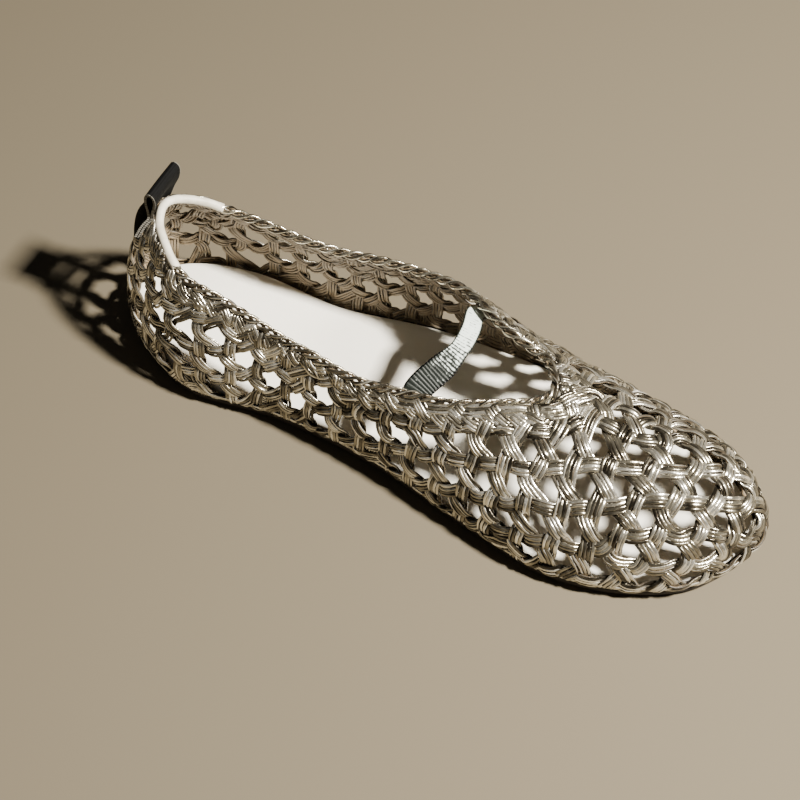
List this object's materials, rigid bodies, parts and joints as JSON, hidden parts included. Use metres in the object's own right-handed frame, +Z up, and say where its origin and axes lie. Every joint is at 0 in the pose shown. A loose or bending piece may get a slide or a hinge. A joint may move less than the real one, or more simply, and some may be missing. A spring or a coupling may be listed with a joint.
{
  "type": "woven mary jane flat",
  "caption": "Left flat shoe with an open woven leather upper, plaited collar edge, elastic instep strap and a ribbon pull loop at the heel.",
  "frame": {"origin": "bottom centre of the shoe's box, on the floor it stands on", "axes": "+X towards the toe, +Z up; the inner ankle is on the -Y side"},
  "size_m": [0.2506, 0.0866, 0.072],
  "materials": {
    "outsole_rubber": "matt, fine grain",
    "insole_leather": "smooth, soft sheen",
    "woven_leather": "metallic pewter strips, glossy",
    "braid_leather": "metallic pewter strips, glossy",
    "strap_elastic": "ribbed, silvery",
    "loop_ribbon": "ribbed, matt"
  },
  "bodies": {
    "root": {"outsole": "outsole_rubber", "insole": "insole_leather", "upper": "woven_leather", "collar_braid": "braid_leather", "strap": "strap_elastic", "pull_loop": "loop_ribbon"}
  },
  "joints": []
}
